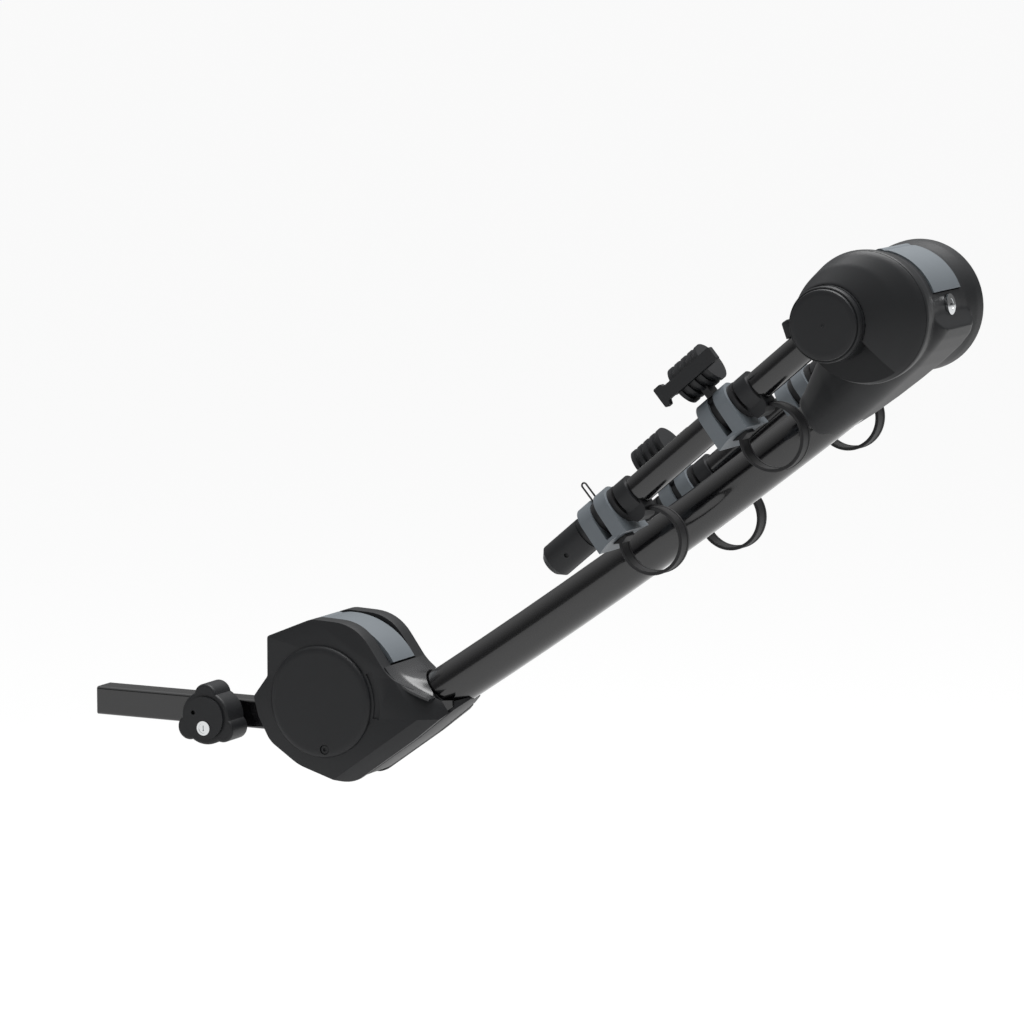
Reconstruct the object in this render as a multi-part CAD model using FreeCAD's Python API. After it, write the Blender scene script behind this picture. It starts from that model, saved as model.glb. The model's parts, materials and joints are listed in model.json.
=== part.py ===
import FreeCAD, Part
import math
import os

# Hitch bike rack with a tilting mast and two folding arms, in millimetres.
# X points rearward away from the vehicle, Z up, Y to the far side.
# The origin is where the hitch pin's axis crosses the shank's centreline.

# Driving dimensions of the hitch end
shank_side = 31.75
shank_wall = 5.0
shank_corner = 3.0
shank_front = -165.0
shank_rear = 86.0
pin_diameter = 12.7
pin_hole_clearance = 0.25
pin_far_reach = 50.0
knob_face_y = -60.0
knob_back_y = -25.0
knob_lobe_count = 3
knob_lobe_radius = 14.0
knob_lobe_offset = 24.0
knob_core_radius = 30.0
knob_boss_radius = 24.0
knob_boss_height = 3.0
knob_lock_radius = 8.0
knob_lock_drop = 11.0

# Tilt pivot and the fixed bracket
tilt_x = 141.0
tilt_z = 28.0
cheek_thickness = 6.0
cheek_radius = 44.0
cheek_front_x = 64.0
latch_radius = 50.0
latch_track_radius = 45.0
latch_half_width = 6.0
bolt_diameter = 16.0
bolt_head_radius = 14.0
bolt_head_height = 8.0
washer_thickness = 1.5

# Mast
mast_angle = 35.8
mast_tilt = 54.0
pivot_distance = 762.0
mast_diameter = 50.8
mast_wall = 3.0
mast_offset = 67.0
mast_bow_radius = 7000.0
mast_start = 74.0
mast_end = 694.0

# Base housing, in the mast's frame with its origin on the tilt pivot
side_plate_thickness = 4.0
cover_face_y = 50.0
cover_wall = 3.5
cover_arc_radius = 91.0
base_floor = 90.5
base_tip = 141.0
base_cavity_radius = 58.0
disc_radius = 61.7
disc_height = 5.0
bevel_width = 15.0
bevel_height = 14.0

# Levers and pawls, the same mechanism at the base and at the head
lever_thickness = 4.5
lever_side_gap = 0.6
lever_swing = 25.0
lever_pin_radius = 3.0
lever_knuckle_radius = 7.5
base_lever_radius = 88.5
base_lever_end = -5.0
base_lever_start = 57.0
base_knuckle_angle = 66.0
base_knuckle_orbit = 82.0
pawl_thickness = 9.0
pawl_pin_radius = 3.0
pawl_boss_radius = 6.5
pawl_nose_half_angle = 4.0
base_pawl_orbit = 67.0
base_pawl_pin_angle = 38.0
base_pawl_nose_angle = 6.0

# Head casing, in the mast's frame with its origin on the arm pivot
drum_offset = 25.5
drum_angle = -24.5
drum_radius = 65.0
drum_half_width = 80.0
drum_edge = 4.0
bowl_y = 106.0
bowl_bore_gap = 0.4
skirt_mouth = 110.0
skirt_floor = 89.0
skirt_rear = 66.0
head_lever_half = 37.0
head_pin_reach = 45.0
head_lever_rise = 2.0
head_lever_start = 44.0
head_lever_end = -14.0
head_knuckle_orbit = 60.0
head_knuckle_angle = 52.0
head_pawl_orbit = 49.0
head_pawl_pin_angle = 62.0
head_pawl_nose_angle = 28.0
head_plate_y = 20.0
head_plate_thickness = 5.0
sleeve_radius = 19.0
lock_radius = 8.5
lock_angle = -27.0
lock_depth = 26.0
swing_margin = 1.5

# Arms, in their own frame: x along the arm, z to the strap side
arm_angle = 220.5
arm_fold = 90.0
arm_diameter = 31.75
arm_wall = 2.5
arm_y = 101.0
arm_start = 24.0
arm_end = 402.0
shaft_diameter = 25.0
wheel_radius = 33.0
wheel_track_radius = 29.0
wheel_half_width = 5.0
hub_radius = 43.0
hub_inner_y = 84.7
hub_outer_y = 118.0
hub_cap_radius = 36.5
hub_cap_height = 4.0
end_cap_radius = 19.0
end_cap_start = 357.0
end_cap_end = 412.0
end_cap_tip = 7.0
end_cap_collar = 8.0
end_cap_hole_x = 384.0

# Cradles, straps and anti-sway cages
cradle_high_x = 150.0
cradle_low_x = 328.0
cradle_length = 40.0
cradle_slot = 8.5
cradle_round_radius = 24.5
cradle_seat_z = 30.0
cradle_seat_half = 28.0
cradle_seat_dip = 3.0
slot_roof_gap = 0.4
pad_radius = 20.5
pad_overhang = 6.0
strap_radius = 36.0
strap_thickness = 3.6
strap_width = 20.0
strap_lead = 27.0
strap_height = 51.0
strap_root_angle = -33.0
strap_tail_angle = 236.0
strap_foot_half = 9.0
seat_dip_radius = 60.0
cage_drum_radius = 22.0
cage_drum_drop = 52.0
cage_drum_length = 42.0
cage_rib_count = 5
cage_rib_width = 4.2
cage_bar_length = 78.0
cage_bar_width = 15.0
cage_bar_thickness = 8.0
cage_ring_radius = 23.4
cage_ring_half_angle = 42.0
pull_loop_length = 24.0
pull_loop_width = 7.4
pull_loop_wire = 2.0

# Clearances
running_clearance = 0.05
fit_clearance = 0.1
face_gap = 0.3

BASE = FreeCAD.Vector(tilt_x, 0, tilt_z)
HEAD = BASE + FreeCAD.Vector(
    pivot_distance * math.cos(math.radians(mast_angle)), 0,
    pivot_distance * math.sin(math.radians(mast_angle)))
half_shank = shank_side / 2
plate_inner = mast_diameter / 2
plate_outer = plate_inner + side_plate_thickness
cheek_inner = half_shank
cheek_outer = cheek_inner + cheek_thickness


# Helpers

def vec(x, y, z):
    return FreeCAD.Vector(x, y, z)


def polar(radius, angle, centre=(0.0, 0.0)):
    """A point (x, z) at an angle in degrees, anticlockwise from X to Z."""
    a = math.radians(angle)
    return centre[0] + radius * math.cos(a), centre[1] + radius * math.sin(a)


def outline(points, y):
    """A closed wire in the XZ plane at y from (x, z, corner radius)."""
    count = len(points)
    edges = []
    ends = []
    for i, (x, z, r) in enumerate(points):
        here = vec(x, y, z)
        before = vec(points[i - 1][0], y, points[i - 1][1])
        after = vec(points[(i + 1) % count][0], y, points[(i + 1) % count][1])
        back = (before - here).normalize()
        on = (after - here).normalize()
        if r == 0:
            ends.append((here, here, None))
            continue
        half = back.getAngle(on) / 2
        reach = r / math.tan(half)
        middle = here + (back + on).normalize() * (r / math.sin(half) - r)
        ends.append((here + back * reach, here + on * reach, middle))
    for i, (start, end, middle) in enumerate(ends):
        if middle is not None:
            edges.append(Part.Arc(start, middle, end).toShape())
        following = ends[(i + 1) % count][0]
        if (following - end).Length > 1e-6:
            edges.append(Part.LineSegment(end, following).toShape())
    return Part.Wire(edges)


def slab(points, y0, y1):
    """A plate of that outline from y0 to y1."""
    face = Part.Face(outline(points, min(y0, y1)))
    return face.extrude(vec(0, abs(y1 - y0), 0))


def rod(radius, y0, y1, centre=(0.0, 0.0)):
    """A cylinder along Y."""
    low = min(y0, y1)
    return Part.makeCylinder(radius, abs(y1 - y0), vec(centre[0], low, centre[1]), vec(0, 1, 0))


def ring(outer, inner, y0, y1, centre=(0.0, 0.0)):
    return rod(outer, y0, y1, centre).cut(rod(inner, y0 - 1, y1 + 1, centre))


def sector(outer, inner, start, end, y0, y1):
    """A part of a ring about the Y axis, from angle start to angle end."""
    low = min(y0, y1)
    corners = [polar(inner, start), polar(outer, start), polar(outer, end), polar(inner, end)]
    middle = (start + end) / 2
    a, b, c, d = [vec(x, low, z) for x, z in corners]
    outer_mid = vec(polar(outer, middle)[0], low, polar(outer, middle)[1])
    inner_mid = vec(polar(inner, middle)[0], low, polar(inner, middle)[1])
    edges = [
        Part.LineSegment(a, b).toShape(),
        Part.Arc(b, outer_mid, c).toShape(),
        Part.LineSegment(c, d).toShape(),
        Part.Arc(d, inner_mid, a).toShape(),
    ]
    return Part.Face(Part.Wire(edges)).extrude(vec(0, abs(y1 - y0), 0))


def box(x0, x1, y0, y1, z0, z1):
    return Part.makeBox(x1 - x0, y1 - y0, z1 - z0, vec(x0, y0, z0))


def section(x, half_width, z0, z1, corner):
    """A rounded rectangle across the X axis, for lofts along X."""
    r = corner
    w = half_width
    k = r * (1 - math.sqrt(0.5))
    p = [
        vec(x, -w + r, z0), vec(x, w - r, z0), vec(x, w - k, z0 + k), vec(x, w, z0 + r),
        vec(x, w, z1 - r), vec(x, w - k, z1 - k), vec(x, w - r, z1),
        vec(x, -w + r, z1), vec(x, -w + k, z1 - k), vec(x, -w, z1 - r),
        vec(x, -w, z0 + r), vec(x, -w + k, z0 + k),
    ]
    edges = [
        Part.LineSegment(p[0], p[1]).toShape(),
        Part.Arc(p[1], p[2], p[3]).toShape(),
        Part.LineSegment(p[3], p[4]).toShape(),
        Part.Arc(p[4], p[5], p[6]).toShape(),
        Part.LineSegment(p[6], p[7]).toShape(),
        Part.Arc(p[7], p[8], p[9]).toShape(),
        Part.LineSegment(p[9], p[10]).toShape(),
        Part.Arc(p[10], p[11], p[0]).toShape(),
    ]
    return Part.Wire(edges)


def edges_at(shape, y):
    """Edges that lie in the plane at y."""
    found = []
    for edge in shape.Edges:
        b = edge.BoundBox
        if abs(b.YMin - y) < 1e-4 and abs(b.YMax - y) < 1e-4:
            found.append(edge)
    return found


def mirrored(shape):
    """The same piece on the other side of the XZ plane."""
    return shape.mirror(vec(0, 0, 0), vec(0, 1, 0))


def placed(shape, origin, angle):
    """Turns a piece from its own frame into the rack's frame."""
    out = shape.copy()
    turn = FreeCAD.Rotation(vec(0, -1, 0), angle)
    out.Placement = FreeCAD.Placement(origin, turn).multiply(out.Placement)
    return out


def save(name, shapes, origin=None, angle=0.0):
    """Writes one node from one or more separate solids."""
    solids = []
    for shape in shapes:
        piece = shape if origin is None else placed(shape, origin, angle)
        solids += piece.removeSplitter().Solids
    for solid in solids:
        if not solid.isValid():
            raise ValueError(name + " holds a solid that is not valid")
    body = solids[0] if len(solids) == 1 else Part.makeCompound(solids)
    body.exportStep("parts/" + name + ".step")
    print(name, len(solids), "solids", round(sum(s.Volume for s in solids)))


def save_mast(name, *shapes):
    save(name, shapes, BASE, mast_angle)


def save_head(name, *shapes):
    save(name, shapes, HEAD, mast_angle)


def save_arm(name, *shapes):
    save(name, shapes, HEAD, arm_angle)


# Hitch end: shank, bracket and latch wheel

def shank():
    def bar(side, corner, x0, x1):
        wire = section(x0, side / 2, -side / 2, side / 2, corner)
        return Part.Face(wire).extrude(vec(x1 - x0, 0, 0))
    inner = shank_side - 2 * shank_wall
    tube = bar(shank_side, shank_corner, shank_front, shank_rear)
    tube = tube.cut(bar(inner, shank_corner / 2, shank_front - 1, shank_rear + 1))
    return tube.cut(rod(pin_diameter / 2 + pin_hole_clearance, -shank_side, shank_side))


def cheek():
    """One steel plate beside the shank, round at the tilt pivot."""
    neck = slab([
        (cheek_front_x, -half_shank, 3), (tilt_x, tilt_z - cheek_radius, 0),
        (tilt_x, tilt_z + cheek_radius, 0), (cheek_front_x, half_shank, 3)],
        cheek_inner, cheek_outer)
    pivot = (tilt_x, tilt_z)
    plate = neck.fuse(rod(cheek_radius, cheek_inner, cheek_outer, pivot))
    return plate.cut(rod(bolt_diameter / 2 + fit_clearance, cheek_inner - 1, cheek_outer + 1, pivot))


def track_wheel(radius, track_radius, half_width, start, sweep):
    """A disc about the Y axis with a sunk track that ends in two shoulders."""
    disc = rod(radius, -half_width, half_width)
    wide = half_width + 1
    return disc.cut(sector(radius + 2, track_radius, start, start + sweep, -wide, wide))


def latch_wheel():
    """The fixed wheel whose shoulders stop the mast at both ends of its tilt."""
    nose = base_pawl_nose_angle
    margin = pawl_nose_half_angle + 1
    wheel = track_wheel(latch_radius, latch_track_radius, latch_half_width,
                        nose - margin, mast_tilt + 2 * margin)
    wheel = wheel.fuse(rod(bolt_head_radius + 6, -cheek_inner, cheek_inner))
    return wheel.cut(rod(bolt_diameter / 2 + fit_clearance, -cheek_inner - 1, cheek_inner + 1))


def pivot_bolt():
    reach = plate_outer + washer_thickness
    shaft = rod(bolt_diameter / 2, -reach, reach + bolt_head_height + 3)
    head = rod(bolt_head_radius, -reach - bolt_head_height, -reach)
    socket = rod(bolt_head_radius * 0.45, -reach - bolt_head_height - 1, -reach - bolt_head_height * 0.5)
    return shaft.fuse(head).cut(socket)


def pivot_nut():
    reach = plate_outer + washer_thickness
    corners = [polar(bolt_head_radius, 60 * i) + (0,) for i in range(6)]
    nut = slab(corners, reach, reach + bolt_head_height)
    return nut.cut(rod(bolt_diameter / 2 + fit_clearance, reach - 1, reach + bolt_head_height + 1))


def pivot_washer(side):
    y0 = side * (plate_outer + fit_clearance)
    y1 = side * (plate_outer + washer_thickness)
    return ring(bolt_head_radius + 2, bolt_diameter / 2 + fit_clearance, min(y0, y1), max(y0, y1))


# Hitch pin and its knob

def hitch_pin():
    tip = 3.0
    shaft = rod(pin_diameter / 2, knob_back_y - 12, pin_far_reach - tip)
    cone = Part.makeCone(pin_diameter / 2, pin_diameter / 2 - tip / 2, tip,
                         vec(0, pin_far_reach - tip, 0), vec(0, 1, 0))
    collar = rod(pin_diameter / 2 + 4, knob_back_y, knob_back_y + 4)
    return shaft.fuse([cone, collar])


def knob():
    body = rod(knob_core_radius, knob_face_y, knob_back_y)
    for i in range(knob_lobe_count):
        centre = polar(knob_lobe_offset, 90 + 360 * i / knob_lobe_count)
        body = body.fuse(rod(knob_lobe_radius, knob_face_y, knob_back_y, centre))
    body = body.removeSplitter()
    body = body.makeFillet(3.0, edges_at(body, knob_face_y))
    body = body.makeFillet(2.0, edges_at(body, knob_back_y))
    body = body.fuse(rod(knob_boss_radius, knob_face_y - knob_boss_height, knob_face_y + 1))
    lock = rod(knob_lock_radius + fit_clearance, knob_face_y - 10, knob_face_y + 16, (0, -knob_lock_drop))
    dimple = rod(2.5, knob_face_y - 10, knob_face_y + 2, (-knob_boss_radius * 0.55, knob_lock_drop / 2))
    bore = rod(pin_diameter / 2 + fit_clearance, knob_back_y - 12 - fit_clearance, knob_back_y + 1)
    return body.cut(lock).cut(dimple).cut(bore)


def lock_plug(radius, y0, y1, centre):
    """A round key plug with its keyway, face at y0."""
    plug = rod(radius, y0, y1, centre)
    slot = box(centre[0] - radius * 0.12, centre[0] + radius * 0.12, min(y0, y1) - 1, y0 + 3,
               centre[1] - radius * 0.55, centre[1] + radius * 0.55)
    return plug.cut(slot)


def knob_lock_barrel():
    front = knob_face_y - knob_boss_height - 1
    return ring(knob_lock_radius, knob_lock_radius * 0.7, front, knob_face_y + 16, (0, -knob_lock_drop))


def knob_lock_plug():
    front = knob_face_y - knob_boss_height - 0.5
    radius = knob_lock_radius * 0.7 - running_clearance
    return lock_plug(radius, front, knob_face_y + 16, (0, -knob_lock_drop))


# Mast tube, a gentle bow below the line between the two pivots

def bow(radius, x0, x1, extra=0.0):
    """A round bar along the mast's bowed axis, from x0 to x1 in the mast's frame."""
    middle = pivot_distance / 2
    centre_z = -mast_offset + mast_bow_radius
    start = math.degrees(math.asin((x0 - middle) / mast_bow_radius))
    end = math.degrees(math.asin((x1 - middle) / mast_bow_radius))
    foot = vec(middle, 0, -mast_offset)
    circle = Part.Face(Part.Wire(Part.makeCircle(radius + extra, foot, vec(1, 0, 0))))
    hub = vec(middle, 0, centre_z)
    circle.rotate(hub, vec(0, -1, 0), start)
    return circle.revolve(hub, vec(0, -1, 0), end - start)


def mast_tube():
    return bow(mast_diameter / 2, mast_start, mast_end).cut(
        bow(mast_diameter / 2 - mast_wall, mast_start - 1, mast_end + 1))


# Base housing

def base_outline(inset=0.0):
    """Side view of the base covers round the tilt pivot, drawn in by an inset."""
    d = inset
    arc = cover_arc_radius - d
    return [
        (-15 + d, 94 - d, 4), polar(arc, 62) + (30,), polar(arc + 7, 28) + (70,),
        (86 - d, -22 - d, 60), (104 - d * 1.5, -62, 24), (base_tip - 3 * d, -base_floor + 6 + d, 1),
        (base_tip - 4 * d, -base_floor + d, 1),
        (-28, -base_floor + d, 24), (-66 + d, -42 + d * 0.5, 60), (-81 + d, -2, 30),
        (-77 + d, 28, 6), (-69 + d, 49 - d, 6), (-41 + d, 58 - d, 6),
    ]


def bevel_tool(side):
    """The wedge that bevels the lower edge of the base along the mast."""
    y_out = side * (cover_face_y + 8)
    y_edge = side * cover_face_y
    y_in = side * (cover_face_y - bevel_width)
    z_low = -base_floor - 8
    z_bottom = -base_floor
    rise = -base_floor + bevel_height
    slope = bevel_height / bevel_width
    points = [
        vec(-120, y_in - side * 8 / slope, z_low), vec(-120, y_out, z_low),
        vec(-120, y_out, rise + 8 * slope), vec(-120, y_edge, rise), vec(-120, y_in, z_bottom),
    ]
    return Part.Face(Part.makePolygon(points + points[:1])).extrude(vec(300, 0, 0))


def tail_tool(side):
    """The wedge that narrows the tail of the base towards its tip."""
    points = [
        vec(88, side * (cover_face_y + 1), -120), vec(base_tip + 4, side * 27, -120),
        vec(base_tip + 4, side * (cover_face_y + 1), -120),
    ]
    return Part.Face(Part.makePolygon(points + points[:1])).extrude(vec(0, 0, 160))


def mast_clear(extra=fit_clearance):
    return bow(mast_diameter / 2, mast_start - 40, mast_end + 4, extra)


def base_cover():
    """The far side cover, hollow towards the steel side plate."""
    shell = slab(base_outline(), plate_outer, cover_face_y)
    shell = shell.makeFillet(2.5, edges_at(shell, cover_face_y))
    hollow = slab(base_outline(cover_wall), plate_outer - 1, cover_face_y - cover_wall)
    shell = shell.cut(hollow)
    crescent = sector(disc_radius + 10, disc_radius + 3.5, -48, -5, cover_face_y - 1.5, cover_face_y + 1)
    shell = shell.cut(crescent).cut(bevel_tool(1)).cut(tail_tool(1))
    seat = rod(disc_radius - 12, cover_face_y - cover_wall - 1, cover_face_y + 1)
    return shell.cut(seat)


def base_disc():
    """The round cap over the far end of the tilt bolt."""
    cap = rod(disc_radius, cover_face_y, cover_face_y + disc_height)
    cap = cap.makeFillet(2.0, edges_at(cap, cover_face_y + disc_height))
    inner_face = cover_face_y - cover_wall
    cap = cap.fuse(ring(disc_radius - 12 - fit_clearance, disc_radius - 16, inner_face, cover_face_y + 1))
    recess = rod(5.0, cover_face_y + 1.5, cover_face_y + disc_height + 1, polar(disc_radius - 9, -119))
    return cap.cut(recess)


def side_plate():
    """The far steel plate welded to the foot of the mast."""
    plate = slab(base_outline(cover_wall + 1), plate_inner, plate_outer)
    plate = plate.cut(bevel_tool(1)).cut(tail_tool(1))
    plate = plate.cut(rod(bolt_diameter / 2 + 3, plate_inner - 1, plate_outer + 1))
    for radius, orbit, angle in (
            (lever_pin_radius, base_knuckle_orbit, base_knuckle_angle),
            (pawl_pin_radius, base_pawl_orbit, base_pawl_pin_angle)):
        centre = polar(orbit, angle)
        plate = plate.cut(rod(radius + fit_clearance, plate_inner - 1, plate_outer + 1, centre))
    return plate


def pivot_bush(side):
    """A bush in the side plate, long enough to space it off the fixed bracket."""
    y0 = side * (cheek_outer + fit_clearance)
    y1 = side * plate_outer
    bore = bolt_diameter / 2 + running_clearance
    return ring(bolt_diameter / 2 + 3, bore, min(y0, y1), max(y0, y1))


def base_screw():
    """The screw that holds the far cover, sunk in the cap's recess."""
    centre = polar(disc_radius - 9, -119)
    head = rod(4.5, cover_face_y + 1.5, cover_face_y + 4.0, centre)
    socket = rod(2.0, cover_face_y + 2.5, cover_face_y + 5, centre)
    return head.cut(socket)


def base_core():
    """The moulding between the side plates, with the saddle down to the mast."""
    w = plate_inner
    body = slab([
        polar(cover_arc_radius - 4, base_lever_end - 1) + (1.5,),
        (96, -33, 26), (124, -34, 3), (base_tip, -base_floor + 5, 1), (base_tip - 1, -base_floor, 1),
        (-28, -base_floor, 24), polar(base_cavity_radius - 6, -122) + (0,),
        polar(base_cavity_radius - 6, base_lever_end - 1) + (0,)], -w, w)
    body = body.cut(rod(base_cavity_radius, -w - 1, w + 1))
    body = body.cut(mast_clear())
    return body.cut(tail_tool(1)).cut(tail_tool(-1))


def lever(radius, start, end, knuckle_orbit, knuckle_angle, half_width):
    """A curved panel about the pivot with a knuckle at one end and a finger lip at the other."""
    panel = sector(radius, radius - lever_thickness, end, start, -half_width, half_width)
    knuckle = rod(lever_knuckle_radius, -half_width, half_width, polar(knuckle_orbit, knuckle_angle))
    a = polar(radius - lever_thickness, start)
    b = polar(radius, start)
    c = polar(knuckle_orbit + lever_knuckle_radius * 0.8, knuckle_angle - 3)
    d = polar(knuckle_orbit - lever_knuckle_radius * 0.3, knuckle_angle - 3)
    web = slab([a + (0,), b + (0,), c + (0,), d + (0,)], -half_width, half_width)
    lip = sector(radius - lever_thickness + 1, radius - lever_thickness - 5, end, end + 3,
                 -half_width + 4, half_width - 4)
    body = panel.fuse([knuckle, web, lip])
    return body.cut(rod(lever_pin_radius + running_clearance, -half_width - 1, half_width + 1,
                        polar(knuckle_orbit, knuckle_angle)))


def pawl(orbit, pin_angle, nose_radius, nose_angle, half_width):
    """A latch arm whose nose rides in a wheel's track."""
    pin = polar(orbit, pin_angle)
    heel = polar(nose_radius + 13, nose_angle + pawl_nose_half_angle)
    toe = polar(nose_radius + 12, nose_angle - pawl_nose_half_angle)
    arm = slab([
        polar(pawl_boss_radius * 0.9, pin_angle + 80, pin) + (0,),
        polar(pawl_boss_radius * 0.9, pin_angle - 150, pin) + (0,),
        heel[0:2] + (1,), toe + (2,), polar(nose_radius + 19, nose_angle) + (4,)], -half_width, half_width)
    boss = rod(pawl_boss_radius, -half_width, half_width, pin)
    nose = sector(nose_radius + 14, nose_radius, nose_angle - pawl_nose_half_angle,
                  nose_angle + pawl_nose_half_angle, -half_width, half_width)
    body = boss.fuse([arm, nose])
    return body.cut(rod(pawl_pin_radius + running_clearance, -half_width - 1, half_width + 1, pin))


def cross_pin(radius, reach, centre):
    return rod(radius, -reach, reach, centre)


# Head casing

DRUM = polar(drum_offset, drum_angle)


def arm_swing():
    """The space that an arm sweeps beside the casing, from stowed to folded out."""
    side = arm_diameter / 2 + swing_margin
    reach = 260.0
    rest = arm_angle - mast_angle
    mouth = [
        polar(side, rest - 90) + (0,), polar(reach, rest - 8) + (0,), polar(reach, rest + arm_fold / 2) + (0,),
        polar(reach, rest + arm_fold + 8) + (0,), polar(side, rest + arm_fold + 90) + (0,)]
    inner = arm_y - side
    return slab(mouth, inner, inner + 60)


def skirt():
    """The lower casing along the mast, from the mouth round the tube to the tail end."""
    mouth = section(-skirt_mouth, 30, -skirt_floor - 1, -31, 27)
    waist = section(-62, 45, -skirt_floor, -6, 21)
    middle = section(0, 70, -skirt_floor, 12, 26)
    rear = section(skirt_rear, 66, -skirt_floor + 4, -18, 24)
    return Part.makeLoft([mouth, waist, middle, rear], True, False)


def bowl():
    """The far end of the casing, drawn in from the drum to the arm's hub."""
    foot = vec(DRUM[0], drum_half_width, DRUM[1])
    wide = Part.Wire(Part.makeCircle(drum_radius - 1, foot, vec(0, 1, 0)))
    neck = Part.Wire(Part.makeCircle(hub_radius + 2.5, vec(0, bowl_y, 0), vec(0, 1, 0)))
    body = Part.makeLoft([wide, neck], True, True)
    body = body.cut(rod(hub_radius + bowl_bore_gap, hub_inner_y - face_gap, bowl_y + 1))
    body = body.cut(rod(shaft_diameter / 2 + 1, 0, bowl_y))
    return body.cut(arm_swing())


def lock_hole(radius, depth):
    """A round bar square to the drum at the lock, from the given depth outward."""
    x, z = polar(drum_radius - depth, lock_angle, DRUM)
    a = math.radians(lock_angle)
    return Part.makeCylinder(radius, depth + 8, vec(x, 0, z), vec(math.cos(a), 0, math.sin(a)))


def lever_pocket():
    """Room for the fold lever, its knuckle and the latch below it."""
    w = head_lever_half + lever_side_gap
    depth = drum_radius - lever_thickness - 4
    room = sector(drum_radius + 8, depth, head_lever_end - 1, head_lever_start + 2, -w, w)
    knuckle = rod(lever_knuckle_radius + 1, -w, w, polar(head_knuckle_orbit, head_knuckle_angle))
    turn = lever_swing + 4
    top = head_knuckle_angle + turn
    mouth = sector(drum_radius + 8, head_knuckle_orbit - 2, head_lever_start, top, -w, w)
    room = room.fuse([knuckle, mouth])
    room.translate(vec(DRUM[0], 0, DRUM[1]))
    w = pawl_thickness / 2 + 1.5
    well = slab([
        polar(wheel_radius, head_pawl_nose_angle - 22) + (0,), polar(drum_radius + 10, 0) + (0,),
        polar(drum_radius + 10, head_pawl_pin_angle - 12) + (0,),
        polar(head_pawl_orbit + 12, head_pawl_pin_angle + 8) + (0,),
        polar(wheel_radius, head_pawl_pin_angle + 30) + (0,)], -w, w)
    drum = rod(drum_radius - lever_thickness, -w, w, DRUM)
    return room, well.common(drum)


def frame_side(side, grow):
    """One plate and sleeve of the head frame; grow gives the hollow round it."""
    inner = side * (head_plate_y - grow)
    outer = side * (head_plate_y + head_plate_thickness + grow)
    foot = mast_end - pivot_distance
    ear = polar(head_pawl_orbit, head_pawl_pin_angle)
    reach = pawl_boss_radius + 2 + grow
    web = sleeve_radius + 6 + grow
    plate = slab([
        polar(web, 35) + (12,), polar(web, 145) + (12,), (foot - 38 - grow, -mast_offset + 16, 8),
        (foot - 30 - grow, -mast_offset + 8, 4), (foot - 4, -mast_offset + 8, 4)], inner, outer)
    up = head_pawl_pin_angle + 90
    down = head_pawl_pin_angle - 90
    arm = slab([
        polar(reach, up, ear) + (0,), polar(reach, down, ear) + (0,),
        polar(reach, down) + (0,), polar(reach, up) + (0,)], inner, outer)
    sleeve = rod(sleeve_radius + grow, inner, side * (drum_half_width - 6 + grow))
    return plate.fuse([arm, rod(reach, inner, outer, ear), sleeve])


def frame_tie(grow):
    return rod(7 + grow, -head_plate_y - 1, head_plate_y + 1, (-38, -32))


def mast_at_head(extra):
    """The mast's upper end seen from the head's origin."""
    bar = bow(mast_diameter / 2, pivot_distance - skirt_mouth - 20, mast_end, extra)
    bar.translate(vec(-pivot_distance, 0, 0))
    return bar


def head_frame():
    """The welded steel frame that carries the arm shaft on the mast's end."""
    frame = frame_side(-1, 0).fuse([frame_side(1, 0), frame_tie(0)])
    frame = frame.cut(rod(shaft_diameter / 2 + running_clearance, -drum_half_width, drum_half_width))
    return frame.cut(head_pawl_bore()).cut(mast_at_head(fit_clearance))


def head_pawl_bore():
    """The hole for the latch arm's pin, through casing and frame."""
    reach = head_plate_y + head_plate_thickness + fit_clearance
    return rod(pawl_pin_radius + fit_clearance, -reach, reach, polar(head_pawl_orbit, head_pawl_pin_angle))


def head_lever_bore():
    """The blind holes for the fold lever's pin."""
    reach = head_pin_reach + fit_clearance
    return rod(lever_pin_radius + fit_clearance, -reach, reach, knuckle_centre())


def frame_room():
    """The hollow in the casing for the frame, the latch wheel and the mast's end."""
    return [
        mast_at_head(fit_clearance), frame_side(-1, face_gap), frame_side(1, face_gap),
        frame_tie(face_gap), head_pawl_bore(), head_lever_bore(),
        rod(wheel_radius + 1.5, -wheel_half_width - 3, wheel_half_width + 3),
        rod(shaft_diameter / 2 + 1, -drum_half_width - 1, drum_half_width + 1),
    ]


def head_body():
    """The central casing: a drum across the arm pivot and the skirt down the mast."""
    drum = rod(drum_radius, -drum_half_width, drum_half_width, DRUM)
    rims = edges_at(drum, drum_half_width) + edges_at(drum, -drum_half_width)
    drum = drum.makeFillet(drum_edge, rims)
    body = drum.fuse(skirt())
    for room in frame_room():
        body = body.cut(room)
    for room in lever_pocket():
        body = body.cut(room)
    return body.cut(lock_hole(lock_radius + fit_clearance, lock_depth))


def fold_lever():
    """The grey lever on the head, the same form as the one on the base."""
    body = lever(drum_radius + head_lever_rise, head_lever_start, head_lever_end,
                 head_knuckle_orbit, head_knuckle_angle, head_lever_half)
    body.translate(vec(DRUM[0], 0, DRUM[1]))
    return body


def knuckle_centre():
    return polar(head_knuckle_orbit, head_knuckle_angle, DRUM)


def lock_barrel():
    bar = lock_hole(lock_radius, lock_depth - 1)
    rim = lock_hole(lock_radius + 2.5, -0.5)
    keep = rod(drum_radius + 3, -20, 20, DRUM)
    barrel = bar.common(keep).fuse(rim.common(keep))
    return barrel.cut(lock_hole(lock_radius * 0.7, lock_depth - 6))


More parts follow.
